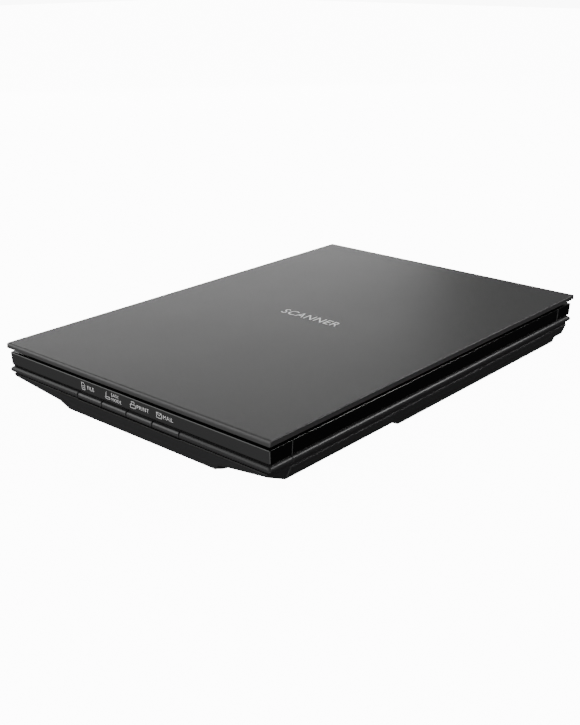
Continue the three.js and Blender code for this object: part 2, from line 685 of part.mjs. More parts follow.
// The flat cable from the main board, along the floor, to the carriage.
function addRibbon(parent) {
  const half = RIBBON.thickness / 2;
  const boardEnd = REAR - MAIN_BOARD.fromRear - MAIN_BOARD.length + 7;
  const plug = FLOOR + MAIN_BOARD.lift + BOARD_THICKNESS + GAP + 1.4;
  const low = FLOOR + 0.8;
  const top = TRAY_BOTTOM - GAP - half;
  const route = [
    [boardEnd, plug],
    [boardEnd - 9, plug],
    [boardEnd - 14, (plug + low) / 2],
    [boardEnd - 19, low],
    [HOME + 24, low],
    [HOME + 17, low + 1.5],
    [HOME + 12, top - 1.5],
    [HOME + 5, top],
    [HOME - 5, top],
  ];
  const upper = route.map(([y, z]) => [y, z + half]);
  const lower = route.map(([y, z]) => [y, z - half]).reverse();
  piece('ribbon_cable', alongX([...upper, ...lower], RIBBON.x0, RIBBON.x1), 'ribbon', parent);
}

// ---- Drive: a rack on the floor, a compound gear and a pinion under the carriage ----

// A spur gear's outline, with a tooth centred on the given angle.
function gearOutline(teeth, toothAngle) {
  const pitch = 2 * Math.PI / teeth;
  const pitchRadius = MODULE * teeth / 2;
  const root = pitchRadius - 1.2 * MODULE;
  const tip = pitchRadius + 0.85 * MODULE;
  const points = [];
  for (let i = 0; i < teeth; i += 1) {
    const middle = toothAngle + i * pitch;
    for (const [radius, share] of [[root, -0.29], [tip, -0.1], [tip, 0.1], [root, 0.29]]) {
      const angle = middle + share * pitch;
      points.push([radius * Math.cos(angle), radius * Math.sin(angle)]);
    }
  }
  return outline(points);
}

function gear(teeth, toothAngle, z0, z1) {
  return standing(gearOutline(teeth, toothAngle), z0, z1);
}

// The rack: teeth face -X, with a gap between teeth level with the compound gear at home.
function addRack() {
  const pitch = Math.PI * MODULE;
  const meshY = HOME + COMPOUND_Y;
  const y0 = meshY - 3 * pitch;
  const count = Math.ceil((SCAN_END - HOME) / pitch) + 6;
  const tipX = RACK_PITCH_X - 0.85 * MODULE;
  const rootX = RACK_PITCH_X + 1.2 * MODULE;
  const points = [[rootX, y0]];
  for (let i = 0; i < count; i += 1) {
    const middle = y0 + (i + 0.5) * pitch;
    points.push([rootX, middle - 0.29 * pitch]);
    points.push([tipX, middle - 0.1 * pitch]);
    points.push([tipX, middle + 0.1 * pitch]);
    points.push([rootX, middle + 0.29 * pitch]);
  }
  const y1 = y0 + count * pitch;
  points.push([rootX, y1], [rootX + RACK_BACK, y1], [rootX + RACK_BACK, y0]);
  piece('rack', standing(outline(points.reverse()), FLOOR + GAP, RACK_TOP), 'acetal');
}

function addGuideShaft() {
  piece('guide_shaft', barAlongY(SHAFT_X, SHAFT_Z, SHAFT_RADIUS, SHAFT_FRONT, SHAFT_REAR, 24), 'steel');
  const bore = barAlongY(SHAFT_X, SHAFT_Z, SHAFT_RADIUS + GAP, FRONT, REAR, 24);
  const half = SHAFT_RADIUS + 3;
  const places = [['front_shaft_mount', SHAFT_FRONT], ['rear_shaft_mount', SHAFT_REAR - SHAFT_MOUNT_DEPTH]];
  for (const [name, y] of places) {
    const top = SHAFT_Z + SHAFT_RADIUS + GAP + 1;
    const mount = block(SHAFT_X - half, SHAFT_X + half, y, y + SHAFT_MOUNT_DEPTH, FLOOR + GAP, top);
    piece(name, mount.subtract(bore), 'acetal');
  }
}

function addGears(carriage) {
  const towardMotor = Math.atan2(MOTOR_OFFSET.y, MOTOR_OFFSET.x);
  const bore = post(0, 0, GEAR_BORE, 0, HEIGHT);
  const large = gear(LARGE_TEETH, towardMotor, LARGE_BOTTOM, GEAR_TOP);
  const small = gear(SMALL_TEETH, 0, SMALL_BOTTOM, LARGE_BOTTOM + 0.5);
  const compound = piece('compound_gear', join(large, small).subtract(bore), 'acetal', carriage);
  compound.position.set(COMPOUND_X, COMPOUND_Y, 0);
  const gapAngle = towardMotor + Math.PI + Math.PI / PINION_TEETH;
  const hole = post(0, 0, MOTOR_SHAFT_RADIUS + GAP, 0, HEIGHT, 12);
  const pinion = gear(PINION_TEETH, gapAngle, LARGE_BOTTOM - GAP, GEAR_TOP + GAP / 2).subtract(hole);
  piece('motor_pinion', pinion, 'acetal', carriage).position.set(MOTOR_X, MOTOR_Y, 0);
}

// ---- Carriage: the tray, the sensor it carries, and the motor. Y is measured from the sensor ----

function addTray(carriage) {
  const half = SENSOR_HALF + 1;
  const wallTop = TRAY_TOP + TRAY_WALL_HEIGHT;
  const floor = block(-half, half, -TRAY_HALF_DEPTH, TRAY_HALF_DEPTH, TRAY_BOTTOM, TRAY_TOP);
  const outer = block(-half, half, -TRAY_HALF_DEPTH, TRAY_HALF_DEPTH, TRAY_BOTTOM, wallTop);
  const innerHalf = TRAY_HALF_DEPTH - TRAY_WALL;
  const trough = block(-half - 1, half + 1, -innerHalf, innerHalf, TRAY_BOTTOM - 1, wallTop + 1);
  const walls = outer.subtract(trough);
  const shelfReach = MOTOR_Y + MOTOR_RADIUS + 0.5;
  const shelfHalf = MOTOR_RADIUS + 3;
  const shelf = block(MOTOR_X - shelfHalf, MOTOR_X + shelfHalf, 0, shelfReach, TRAY_BOTTOM, TRAY_TOP);
  const saddle = block(
    SHAFT_X - 6, SHAFT_X + 6, -SADDLE_HALF, SADDLE_HALF, SHAFT_Z - 1.8, TRAY_BOTTOM + 0.5,
  );
  const stub = post(COMPOUND_X, COMPOUND_Y, GEAR_BORE - GAP, SMALL_BOTTOM + 0.2, TRAY_BOTTOM + 0.5);
  const shaftBore = barAlongY(SHAFT_X, SHAFT_Z, SHAFT_RADIUS + GAP, -20, 20, 24);
  const motorHole = post(MOTOR_X, MOTOR_Y, MOTOR_SHAFT_RADIUS + 0.6, 0, HEIGHT);
  const caseRoom = join(
    hull(WALL + 2 * GAP),
    planBlock(CASE_INSET + WALL, RIM, DECK_TOP),
  ).translate([0, -HOME, 0]);
  const tray = join(floor, walls, shelf, saddle, stub)
    .subtract(join(shaftBore, motorHole))
    .intersect(caseRoom);
  piece('carriage_tray', tray, 'casing', carriage);
}

function addSensor(carriage) {
  const halfY = SENSOR_DEPTH / 2;
  const lineHalf = PLATEN_WIDTH / 2;
  const boardHalf = SENSOR_HALF - 2;
  const boardY = halfY - 2;
  const lensFoot = SENSOR_BOTTOM + 3;
  const guideFoot = SENSOR_TOP - 4;
  const slotTop = SENSOR_TOP + 1;
  const slotHalf = lineHalf + GAP;
  const body = block(-SENSOR_HALF, SENSOR_HALF, -halfY, halfY, SENSOR_BOTTOM, SENSOR_TOP);
  const lensSlot = block(-slotHalf, slotHalf, -1 - GAP, 1 + GAP, lensFoot, slotTop);
  const guideSlot = block(-slotHalf, slotHalf, 3, 6 + 2 * GAP, guideFoot, slotTop);
  const boardSlot = block(-boardHalf, boardHalf, -boardY, boardY, SENSOR_BOTTOM - 1, SENSOR_BOTTOM + 2);
  piece('sensor_housing', body.subtract(join(lensSlot, guideSlot, boardSlot)), 'casing', carriage);
  const lens = block(-lineHalf, lineHalf, -1, 1, lensFoot + GAP, SENSOR_TOP - 1);
  piece('rod_lens', lens, 'acetal', carriage);
  const guide = block(-lineHalf, lineHalf, 3 + GAP, 6 + GAP, guideFoot + GAP, SENSOR_TOP - 0.5);
  piece('light_guide', guide, 'glass', carriage);
  const edge = boardHalf - GAP;
  const edgeY = boardY - GAP;
  const board = block(-edge, edge, -edgeY, edgeY, SENSOR_BOTTOM + 0.2, SENSOR_BOTTOM + 1.4);
  piece('sensor_board', board, 'board', carriage);
  for (const [name, side] of [['left_glass_slider', -1], ['right_glass_slider', 1]]) {
    const x = side * boardHalf;
    const slider = block(x - 1.6, x + 1.6, -boardY, boardY, SENSOR_TOP + GAP, SLIDER_TOP);
    piece(name, slider, 'acetal', carriage);
  }
}

// Bowed leaf springs that press the sensor up against the glass.
function addSprings(carriage) {
  const { halfLength, halfWidth, leaf, spacing } = SPRING;
  const crown = SPRING_SPACE - 2 * GAP - leaf;
  const arc = [-1, -0.5, 0, 0.5, 1].map((along) => [along * halfLength, (1 - along * along) * crown]);
  const upper = arc.map(([x, z]) => [x, z + leaf]).reverse();
  const shape = alongY([...arc, ...upper], -halfWidth, halfWidth);
  piece('left_pressure_spring', shape, 'steel', carriage).position.set(-spacing, 0, TRAY_TOP + GAP);
  piece('right_pressure_spring', shape, 'steel', carriage).position.set(spacing, 0, TRAY_TOP + GAP);
}

// The motor's can, with the rotor and its shaft turning inside it.
function addMotor(carriage) {
  const z0 = TRAY_TOP + GAP;
  const z1 = z0 + MOTOR_HEIGHT;
  const can = post(0, 0, MOTOR_RADIUS, z0, z1, 32);
  const hollow = post(0, 0, ROTOR_RADIUS + 2 * GAP, z0 + MOTOR_SKIN, z1 - MOTOR_SKIN, 24);
  const shaftHole = post(0, 0, MOTOR_SHAFT_RADIUS + GAP, z0 - 1, z0 + MOTOR_SKIN + 1, 12);
  const body = can.subtract(join(hollow, shaftHole));
  piece('stepper_motor', body, 'steel', carriage).position.set(MOTOR_X, MOTOR_Y, 0);
  const magnet = post(0, 0, ROTOR_RADIUS, z0 + MOTOR_SKIN + GAP, z1 - MOTOR_SKIN - GAP, 24);
  const shaft = post(0, 0, MOTOR_SHAFT_RADIUS, LARGE_BOTTOM - GAP, z0 + MOTOR_SKIN + 1, 12);
  piece('motor_rotor', join(magnet, shaft), 'steel', carriage).position.set(MOTOR_X, MOTOR_Y, 0);
}

function addCarriage() {
  const carriage = new THREE.Group();
  carriage.position.set(0, HOME, 0);
  scanner.add(carriage);
  addTray(carriage);
  addSensor(carriage);
  addSprings(carriage);
  addMotor(carriage);
  addGears(carriage);
}

// ---- Lid: plate, liner, foam and white sheet, hung on two posts that rise for thick books ----

// A knuckle round the hinge axis, drawn in [y, z], with a web that reaches up or down from it.
function knuckle(x0, x1, web) {
  const eye = barAlongX(x0, x1, HINGE_Y, HINGE_Z, KNUCKLE_RADIUS, 20);
  return join(eye, web);
}

function hingeBore() {
  return barAlongX(-SIDE, SIDE, HINGE_Y, HINGE_Z, PIN_RADIUS + GAP, 16);
}

// The posts: a shank that slides in the socket, and an arm that reaches back to the knuckle.
function addPosts() {
  const half = KNUCKLE_WIDTH / 2;
  const halfX = POST_WIDTH / 2;
  const halfY = POST_DEPTH / 2;
  const armBottom = DECK_TOP + GAP;
  const armTop = LID_BOTTOM - GAP;
  for (const [name, side] of [['left_hinge_post', -1], ['right_hinge_post', 1]]) {
    const shank = block(-halfX, halfX, POST_Y - halfY, POST_Y + halfY, DECK_TOP - POST_LENGTH, armTop);
    const arm = block(-half, half, POST_Y, HINGE_Y, armBottom + 0.4, armTop);
    const body = join(shank, knuckle(-half, half, arm)).subtract(hingeBore());
    piece(name, body, 'casing').position.set(side * HINGE_HALF_SPACING, 0, 0);
  }
}

// One edge of the plate in section, from its foot to the top, where it rolls over.
function lidEdge(end, outward, radius) {
  const steps = 5;
  const points = [[end, LID_BOTTOM]];
  for (let i = 0; i <= steps; i += 1) {
    const turn = Math.PI / 2 * i / steps;
    points.push([end - outward * radius * (1 - Math.cos(turn)), HEIGHT - radius * (1 - Math.sin(turn))]);
  }
  return points;
}

function lidShell() {
  const plan = roundedRectangle(-SIDE, SIDE, FRONT, REAR, LID_CORNER);
  const frontToRear = [...lidEdge(FRONT, -1, LID_FRONT_EDGE), ...lidEdge(REAR, 1, LID_EDGE).reverse()];
  const sideToSide = [...lidEdge(-SIDE, -1, LID_EDGE), ...lidEdge(SIDE, 1, LID_EDGE).reverse()];
  return standing(plan, LID_BOTTOM, HEIGHT)
    .intersect(alongX(frontToRear, -SIDE, SIDE))
    .intersect(alongY(sideToSide, FRONT, REAR));
}

function addLidPlate(lid) {
  const pocket = planBlock(LID_RIM, LID_BOTTOM - 1, HEIGHT - LID_SKIN);
  const half = KNUCKLE_WIDTH / 2;
  const notchReach = half + GAP;
  const lugReach = notchReach + LUG_WIDTH;
  const notchTop = HINGE_Z + KNUCKLE_RADIUS + GAP;
  const lugTop = HEIGHT - LID_SKIN + 0.3;
  let plate = lidShell().subtract(pocket);
  for (const side of [-1, 1]) {
    const x = side * HINGE_HALF_SPACING;
    const y0 = HINGE_Y - KNUCKLE_RADIUS - GAP;
    const notch = block(x - notchReach, x + notchReach, y0, REAR + 1, LID_BOTTOM - 1, notchTop);
    const webY0 = HINGE_Y - KNUCKLE_RADIUS;
    const webY1 = HINGE_Y + KNUCKLE_RADIUS;
    const lugs = [[x - lugReach, x - notchReach], [x + notchReach, x + lugReach]]
      .map(([x0, x1]) => knuckle(x0, x1, block(x0, x1, webY0, webY1, HINGE_Z, lugTop)));
    plate = plate.subtract(notch).add(join(...lugs));
  }
  piece('lid_plate', plate.subtract(hingeBore()), 'matte', lid);
}

function addHingePins(lid) {
  const reach = KNUCKLE_WIDTH / 2 + GAP + LUG_WIDTH;
  for (const [name, side] of [['left_hinge_pin', -1], ['right_hinge_pin', 1]]) {
    const x = side * HINGE_HALF_SPACING;
    piece(name, barAlongX(x - reach, x + reach, HINGE_Y, HINGE_Z, PIN_RADIUS, 16), 'steel', lid);
  }
}

// The liner closes the underside of the plate, and its skirt frames the foam.
function addLiner(lid) {
  const plateTop = HEIGHT - LID_SKIN - GAP;
  const skirtFoot = DECK_TOP + 1;
  const edge = LID_RIM + GAP;
  const rear = REAR - LINER_REAR_INSET;
  const slab = (inset, z0, z1) => block(-SIDE + inset, SIDE - inset, FRONT + inset, rear, z0, z1);
  const plate = slab(edge, LID_BOTTOM, plateTop);
  const skirt = slab(LINER_INSET, skirtFoot, LID_BOTTOM + 0.1);
  const inner = LINER_INSET + WALL;
  const well = block(-SIDE + inner, SIDE - inner, FRONT + inner, rear - WALL, skirtFoot - 1, LID_BOTTOM);
  piece('lid_liner', join(plate, skirt).subtract(well), 'casing', lid);
  const pad = inner + GAP;
  const sheetZ = DECK_TOP + GAP;
  const foamZ = sheetZ + SHEET_THICKNESS + GAP;
  const foamTop = LID_BOTTOM - GAP;
  const padRear = rear - WALL - GAP;
  piece('foam_pad', block(-SIDE + pad, SIDE - pad, FRONT + pad, padRear, foamZ, foamTop), 'foam', lid);
  const sheet = block(-SIDE + pad, SIDE - pad, FRONT + pad, padRear, sheetZ, sheetZ + SHEET_THICKNESS);
  piece('document_sheet', sheet, 'white', lid);
}

function addLid() {
  const lid = new THREE.Group();
  scanner.add(lid);
  addLidPlate(lid);
  addHingePins(lid);
  addLiner(lid);
}

addLowerCase();
addFeet();
addScrews();
addBezels();
addUpperCase();
addGlass();
addHingeSockets();
addButtons();
addButtonBoard();
addMainBoard();
addRack();
addGuideShaft();
addRibbon(scanner);
addCarriage();
addPosts();
addLid();

export default scanner;
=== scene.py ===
# A flatbed document scanner, built up in the order it is put together: case, buttons, platen, drive, lid.

import math

import bmesh
import bpy
from mathutils import Matrix, Vector


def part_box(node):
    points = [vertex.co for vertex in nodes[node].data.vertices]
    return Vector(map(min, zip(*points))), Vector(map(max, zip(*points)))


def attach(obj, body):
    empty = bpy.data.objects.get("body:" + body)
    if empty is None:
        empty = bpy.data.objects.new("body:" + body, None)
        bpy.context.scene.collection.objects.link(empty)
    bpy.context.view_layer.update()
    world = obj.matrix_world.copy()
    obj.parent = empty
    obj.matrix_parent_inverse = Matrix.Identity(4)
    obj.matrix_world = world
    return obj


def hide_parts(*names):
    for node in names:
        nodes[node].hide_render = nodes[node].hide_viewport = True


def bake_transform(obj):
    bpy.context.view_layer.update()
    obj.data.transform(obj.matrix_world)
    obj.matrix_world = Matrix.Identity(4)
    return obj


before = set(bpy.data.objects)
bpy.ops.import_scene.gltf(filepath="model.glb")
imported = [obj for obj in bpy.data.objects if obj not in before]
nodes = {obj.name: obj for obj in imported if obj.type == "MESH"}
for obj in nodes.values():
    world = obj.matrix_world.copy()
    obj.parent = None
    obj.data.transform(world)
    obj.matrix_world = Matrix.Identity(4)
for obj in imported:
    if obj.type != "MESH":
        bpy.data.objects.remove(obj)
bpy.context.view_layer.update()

# ---- Camera ----
# A long lens above the front right corner, a little over three quarters of a metre away.
camera_data = bpy.data.cameras.new("camera")
camera_data.lens = 52.34
camera_data.sensor_width = 36
camera = bpy.data.objects.new("camera", camera_data)
camera.location = (0.4838, -0.5804, 0.2942)
aim = Vector((-0.0120, -0.0082, 0.00465)) - camera.location
camera.rotation_euler = aim.to_track_quat("-Z", "Y").to_euler()
bpy.context.scene.collection.objects.link(camera)
bpy.context.scene.camera = camera

# ---- Room ----
# A pale sweep under soft boxes, with a white floor in front that lights the button side and picks out
# the upright edges. Blacks stay black because the rest of the room below the horizon is dark.
FRONT_GLOW = 0.9
SWEEP_WHITE = 12.0
CORNER_GLOW = 5.0
world = bpy.data.worlds.new("room")
bpy.context.scene.world = world
world.use_nodes = True
sky = world.node_tree
sky.nodes.clear()
direction = sky.nodes.new("ShaderNodeTexCoord")
split = sky.nodes.new("ShaderNodeSeparateXYZ")
height = sky.nodes.new("ShaderNodeMapRange")
height.inputs["From Min"].default_value = -0.05
height.inputs["From Max"].default_value = 0.6
height.inputs["To Min"].default_value = 0.02
height.inputs["To Max"].default_value = 0.45


def glow_from(heading, low, high, strength):
    """A soft patch of light in one direction: it starts at one cosine and is full at the other."""
    toward = sky.nodes.new("ShaderNodeVectorMath")
    toward.operation = "DOT_PRODUCT"
    toward.inputs[1].default_value = heading
    patch = sky.nodes.new("ShaderNodeMapRange")
    patch.inputs["From Min"].default_value = low
    patch.inputs["From Max"].default_value = high
    patch.inputs["To Max"].default_value = strength
    sky.links.new(direction.outputs["Generated"], toward.inputs[0])
    sky.links.new(toward.outputs["Value"], patch.inputs["Value"])
    return patch.outputs["Result"]


def added(one, other):
    """The sum of two strengths."""
    both = sky.nodes.new("ShaderNodeMath")
    both.operation = "ADD"
    sky.links.new(one, both.inputs[0])
    sky.links.new(other, both.inputs[1])
    return both.outputs[0]


front_floor = glow_from((-0.1, -0.95, -0.3), 0.4, 0.9, FRONT_GLOW)
corner_card = glow_from((0.706, -0.611, -0.357), 0.93, 0.99, CORNER_GLOW)
soft = sky.nodes.new("ShaderNodeBackground")
white = sky.nodes.new("ShaderNodeBackground")
white.inputs["Strength"].default_value = SWEEP_WHITE
seen = sky.nodes.new("ShaderNodeLightPath")
pick = sky.nodes.new("ShaderNodeMixShader")
out = sky.nodes.new("ShaderNodeOutputWorld")
sky.links.new(direction.outputs["Generated"], split.inputs[0])
sky.links.new(split.outputs["Z"], height.inputs["Value"])
sky.links.new(added(height.outputs["Result"], added(front_floor, corner_card)), soft.inputs["Strength"])
sky.links.new(seen.outputs["Is Camera Ray"], pick.inputs["Fac"])
sky.links.new(soft.outputs[0], pick.inputs[1])
sky.links.new(white.outputs[0], pick.inputs[2])
sky.links.new(pick.outputs[0], out.inputs["Surface"])


def soft_box(name, place, target, width, depth, power):
    """A studio light at a place, facing a target."""
    data = bpy.data.lights.new(name, "AREA")
    data.shape = "RECTANGLE"
    data.size = width
    data.size_y = depth
    data.energy = power
    lamp = bpy.data.objects.new(name, data)
    lamp.location = place
    lamp.rotation_euler = (Vector(target) - Vector(place)).to_track_quat("-Z", "Y").to_euler()
    bpy.context.scene.collection.objects.link(lamp)
    return lamp


soft_box("left_rear_light", (-1.5, 1.15, 0.36), (-0.05, 0.0, 0.04), 1.5, 0.5, 7)
soft_box("button_side_light", (-1.1, -0.9, 0.9), (-0.05, -0.18, 0.03), 1.2, 1.2, 14)
soft_box("right_rear_light", (0.75, 1.3, 1.1), (0.1, 0.0, 0.03), 0.35, 0.35, 16)
soft_box("right_side_light", (1.5, -0.1, 0.8), (0.1, 0.0, 0.03), 1.2, 1.2, 3.5)

floor_mesh = bmesh.new()
bmesh.ops.create_grid(floor_mesh, x_segments=1, y_segments=1, size=6)
floor_data = bpy.data.meshes.new("floor")
floor_mesh.to_mesh(floor_data)
floor_mesh.free()
floor = bpy.data.objects.new("floor", floor_data)
bpy.context.scene.collection.objects.link(floor)
floor.visible_glossy = False
floor.visible_diffuse = False
floor.visible_shadow = False
paper = bpy.data.materials.new("pale_sweep")
paper.use_nodes = True
paper_shader = paper.node_tree.nodes["Principled BSDF"]
paper_shader.inputs["Base Color"].default_value = (0.8, 0.8, 0.8, 1)
paper_shader.inputs["Roughness"].default_value = 1.0
paper_shader.inputs["Specular IOR Level"].default_value = 0.0
paper_shader.inputs["Emission Color"].default_value = (1, 1, 1, 1)
paper_shader.inputs["Emission Strength"].default_value = SWEEP_WHITE
floor_data.materials.append(paper)

# ---- Lower case ----
# The undercut tray that everything stands in: one injection moulding in black ABS with a fine
# spark-eroded texture, closed from below by screws that run up into the upper case.


def grain_group():
    """The texture that a spark-eroded mould leaves, with the faint cloudiness of handled plastic."""
    group = bpy.data.node_groups.new("moulded_grain", "ShaderNodeTree")
    face = group.interface
    face.new_socket("Vector", in_out="INPUT", socket_type="NodeSocketVector")
    for label, value in (("Grain Scale", 1800), ("Tone Spread", 0.1), ("Roughness", 0.5), ("Smudge", 0.06)):
        face.new_socket(label, in_out="INPUT", socket_type="NodeSocketFloat").default_value = value
    face.new_socket("Base Color", in_out="INPUT", socket_type="NodeSocketColor")
    face.new_socket("Color", in_out="OUTPUT", socket_type="NodeSocketColor")
    face.new_socket("Roughness", in_out="OUTPUT", socket_type="NodeSocketFloat")
    face.new_socket("Height", in_out="OUTPUT", socket_type="NodeSocketFloat")
    enter = group.nodes.new("NodeGroupInput")
    leave = group.nodes.new("NodeGroupOutput")
    link = group.links.new
    fine = group.nodes.new("ShaderNodeTexNoise")
    fine.inputs["Detail"].default_value = 3
    cloud = group.nodes.new("ShaderNodeTexNoise")
    cloud.inputs["Scale"].default_value = 14
    cloud.inputs["Detail"].default_value = 4
    link(enter.outputs["Vector"], fine.inputs["Vector"])
    link(enter.outputs["Vector"], cloud.inputs["Vector"])
    link(enter.outputs["Grain Scale"], fine.inputs["Scale"])

    def around(source, middle, spread, clamp=False):
        """middle + spread * (source - 0.5)"""
        centred = group.nodes.new("ShaderNodeMath")
        centred.operation = "SUBTRACT"
        centred.inputs[1].default_value = 0.5
        scaled = group.nodes.new("ShaderNodeMath")
        scaled.operation = "MULTIPLY_ADD"
        scaled.use_clamp = clamp
        link(source, centred.inputs[0])
        link(centred.outputs[0], scaled.inputs[0])
        link(spread, scaled.inputs[1])
        if isinstance(middle, float):
            scaled.inputs[2].default_value = middle
        else:
            link(middle, scaled.inputs[2])
        return scaled.outputs[0]

    tone = around(fine.outputs["Fac"], 1.0, enter.outputs["Tone Spread"])
    shade = group.nodes.new("ShaderNodeVectorMath")
    shade.operation = "SCALE"
    link(enter.outputs["Base Color"], shade.inputs[0])
    link(tone, shade.inputs["Scale"])
    link(shade.outputs[0], leave.inputs["Color"])
    rough = around(cloud.outputs["Fac"], enter.outputs["Roughness"], enter.outputs["Smudge"], clamp=True)
    link(rough, leave.inputs["Roughness"])
    link(fine.outputs["Fac"], leave.inputs["Height"])
    return group


moulded_grain = grain_group()


def plastic(name, color, rough, grain_scale=1800, tone=0.12, smudge=0.06, depth=0.00002, shine=0.5):
    """A moulded plastic: colour, gloss and the grain of its mould."""
    made = bpy.data.materials.new(name)
    made.use_nodes = True
    tree = made.node_tree
    shader = tree.nodes["Principled BSDF"]
    shader.inputs["Specular IOR Level"].default_value = shine
    place = tree.nodes.new("ShaderNodeTexCoord")
    grain = tree.nodes.new("ShaderNodeGroup")
    grain.node_tree = moulded_grain
    grain.inputs["Grain Scale"].default_value = grain_scale
    grain.inputs["Tone Spread"].default_value = tone
    grain.inputs["Roughness"].default_value = rough
    grain.inputs["Smudge"].default_value = smudge
    grain.inputs["Base Color"].default_value = (*color, 1)
    bump = tree.nodes.new("ShaderNodeBump")
    bump.inputs["Distance"].default_value = depth
    bump.inputs["Strength"].default_value = 0.5
    tree.links.new(place.outputs["Object"], grain.inputs["Vector"])
    tree.links.new(grain.outputs["Color"], shader.inputs["Base Color"])
    tree.links.new(grain.outputs["Roughness"], shader.inputs["Roughness"])
    tree.links.new(grain.outputs["Height"], bump.inputs["Height"])
    tree.links.new(bump.outputs["Normal"], shader.inputs["Normal"])
    return made


WELD = 2e-6


def moulding(name, node, edge, body, material, sharpest=20, segments=3, shape=None, lower=None):
    """A moulding's skin: the node's shape as one clean mesh, with the edges that are sharper than an
    angle rounded off. shape changes the mesh first, and lower gives a second finish below a height."""
    skin = bmesh.new()
    skin.from_mesh(nodes[node].data)
    bmesh.ops.remove_doubles(skin, verts=skin.verts, dist=WELD)
    bmesh.ops.dissolve_limit(skin, angle_limit=math.radians(0.5), verts=skin.verts, edges=skin.edges)
    if shape:
        shape(skin)
    corners = [e for e in skin.edges if e.is_manifold and e.calc_face_angle() > math.radians(sharpest)]
    bmesh.ops.bevel(
        skin, geom=corners, offset=edge, offset_type="OFFSET", segments=segments, profile=0.5,
        affect="EDGES", clamp_overlap=False, material=-1,
    )
    for face in skin.faces:
        face.smooth = True
        if lower and face.calc_center_median().z < lower[0]:
            face.material_index = 1
    made = bpy.data.meshes.new(name)
    skin.to_mesh(made)
    skin.free()
    piece = bpy.data.objects.new(name, made)
    bpy.context.scene.collection.objects.link(piece)
    made.materials.append(material)
    if lower:
        made.materials.append(lower[1])
    even = piece.modifiers.new("even_normals", "WEIGHTED_NORMAL")
    even.weight = 100
    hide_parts(node)
    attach(piece, body)
    return piece


case_black = plastic("case_black", (0.02, 0.02, 0.0205), 0.42, tone=0.25, shine=0.45)
moulding("lower_shell", "lower_case", 0.0004, "base", case_black, sharpest=14)

# ---- Feet ----
# Four soft rubber discs glued into round seats under the case, their soles a little rounded by the
# mould and dusty from the desk.
foot_rubber = plastic(
    "foot_rubber", (0.008, 0.008, 0.008), 0.85, grain_scale=900, tone=0.8, smudge=0.2, shine=0.3,
)
for corner in ("left_front", "right_front", "left_rear", "right_rear"):
    moulding(corner + "_sole", corner + "_foot", 0.0003, "base", foot_rubber, sharpest=30)

# ---- Case screws ----
# Four plated steel screws with cross recesses, sunk in the columns that join the two halves of the case.


def drawn_group():
    """The fine streaks that drawing, turning or rolling leaves on metal."""
    group = bpy.data.node_groups.new("drawn_streaks", "ShaderNodeTree")
    face = group.interface
    face.new_socket("Vector", in_out="INPUT", socket_type="NodeSocketVector")
    face.new_socket("Base Color", in_out="INPUT", socket_type="NodeSocketColor")
    face.new_socket("Roughness", in_out="INPUT", socket_type="NodeSocketFloat").default_value = 0.3
    face.new_socket("Color", in_out="OUTPUT", socket_type="NodeSocketColor")
    face.new_socket("Roughness", in_out="OUTPUT", socket_type="NodeSocketFloat")
    enter = group.nodes.new("NodeGroupInput")
    leave = group.nodes.new("NodeGroupOutput")
    link = group.links.new
    streaks = group.nodes.new("ShaderNodeTexNoise")
    streaks.inputs["Scale"].default_value = 600
    streaks.inputs["Detail"].default_value = 2
    shade = group.nodes.new("ShaderNodeMapRange")
    shade.inputs["To Min"].default_value = 0.8
    shade.inputs["To Max"].default_value = 1.1
    tint = group.nodes.new("ShaderNodeVectorMath")
    tint.operation = "SCALE"
    rough = group.nodes.new("ShaderNodeMath")
    rough.operation = "MULTIPLY"
    link(enter.outputs["Vector"], streaks.inputs["Vector"])
    link(streaks.outputs["Fac"], shade.inputs["Value"])
    link(enter.outputs["Base Color"], tint.inputs[0])
    link(shade.outputs["Result"], tint.inputs["Scale"])
    link(tint.outputs[0], leave.inputs["Color"])
    link(shade.outputs["Result"], rough.inputs[0])
    link(enter.outputs["Roughness"], rough.inputs[1])
    link(rough.outputs[0], leave.inputs["Roughness"])
    return group


drawn_streaks = drawn_group()


def metal(name, color, rough, stretch):
    """A metal whose streaks run along the axis that has the small stretch factor."""
    made = bpy.data.materials.new(name)
    made.use_nodes = True
    tree = made.node_tree
    shader = tree.nodes["Principled BSDF"]
    shader.inputs["Metallic"].default_value = 1.0
    place = tree.nodes.new("ShaderNodeTexCoord")
    run = tree.nodes.new("ShaderNodeMapping")
    run.inputs["Scale"].default_value = stretch
    streaks = tree.nodes.new("ShaderNodeGroup")
    streaks.node_tree = drawn_streaks
    streaks.inputs["Base Color"].default_value = (*color, 1)
    streaks.inputs["Roughness"].default_value = rough
    tree.links.new(place.outputs["Object"], run.inputs["Vector"])
    tree.links.new(run.outputs["Vector"], streaks.inputs["Vector"])
    tree.links.new(streaks.outputs["Color"], shader.inputs["Base Color"])
    tree.links.new(streaks.outputs["Roughness"], shader.inputs["Roughness"])
    return made


def finish(material, *names):
    """Gives the frame's own pieces a material."""
    for name in names:
        for material_slot in nodes[name].material_slots:
            material_slot.material = material


plated_steel = metal("plated_steel", (0.55, 0.56, 0.58), 0.3, (1, 1, 1))
finish(plated_steel, "left_front_screw", "right_front_screw", "left_rear_screw", "right_rear_screw")

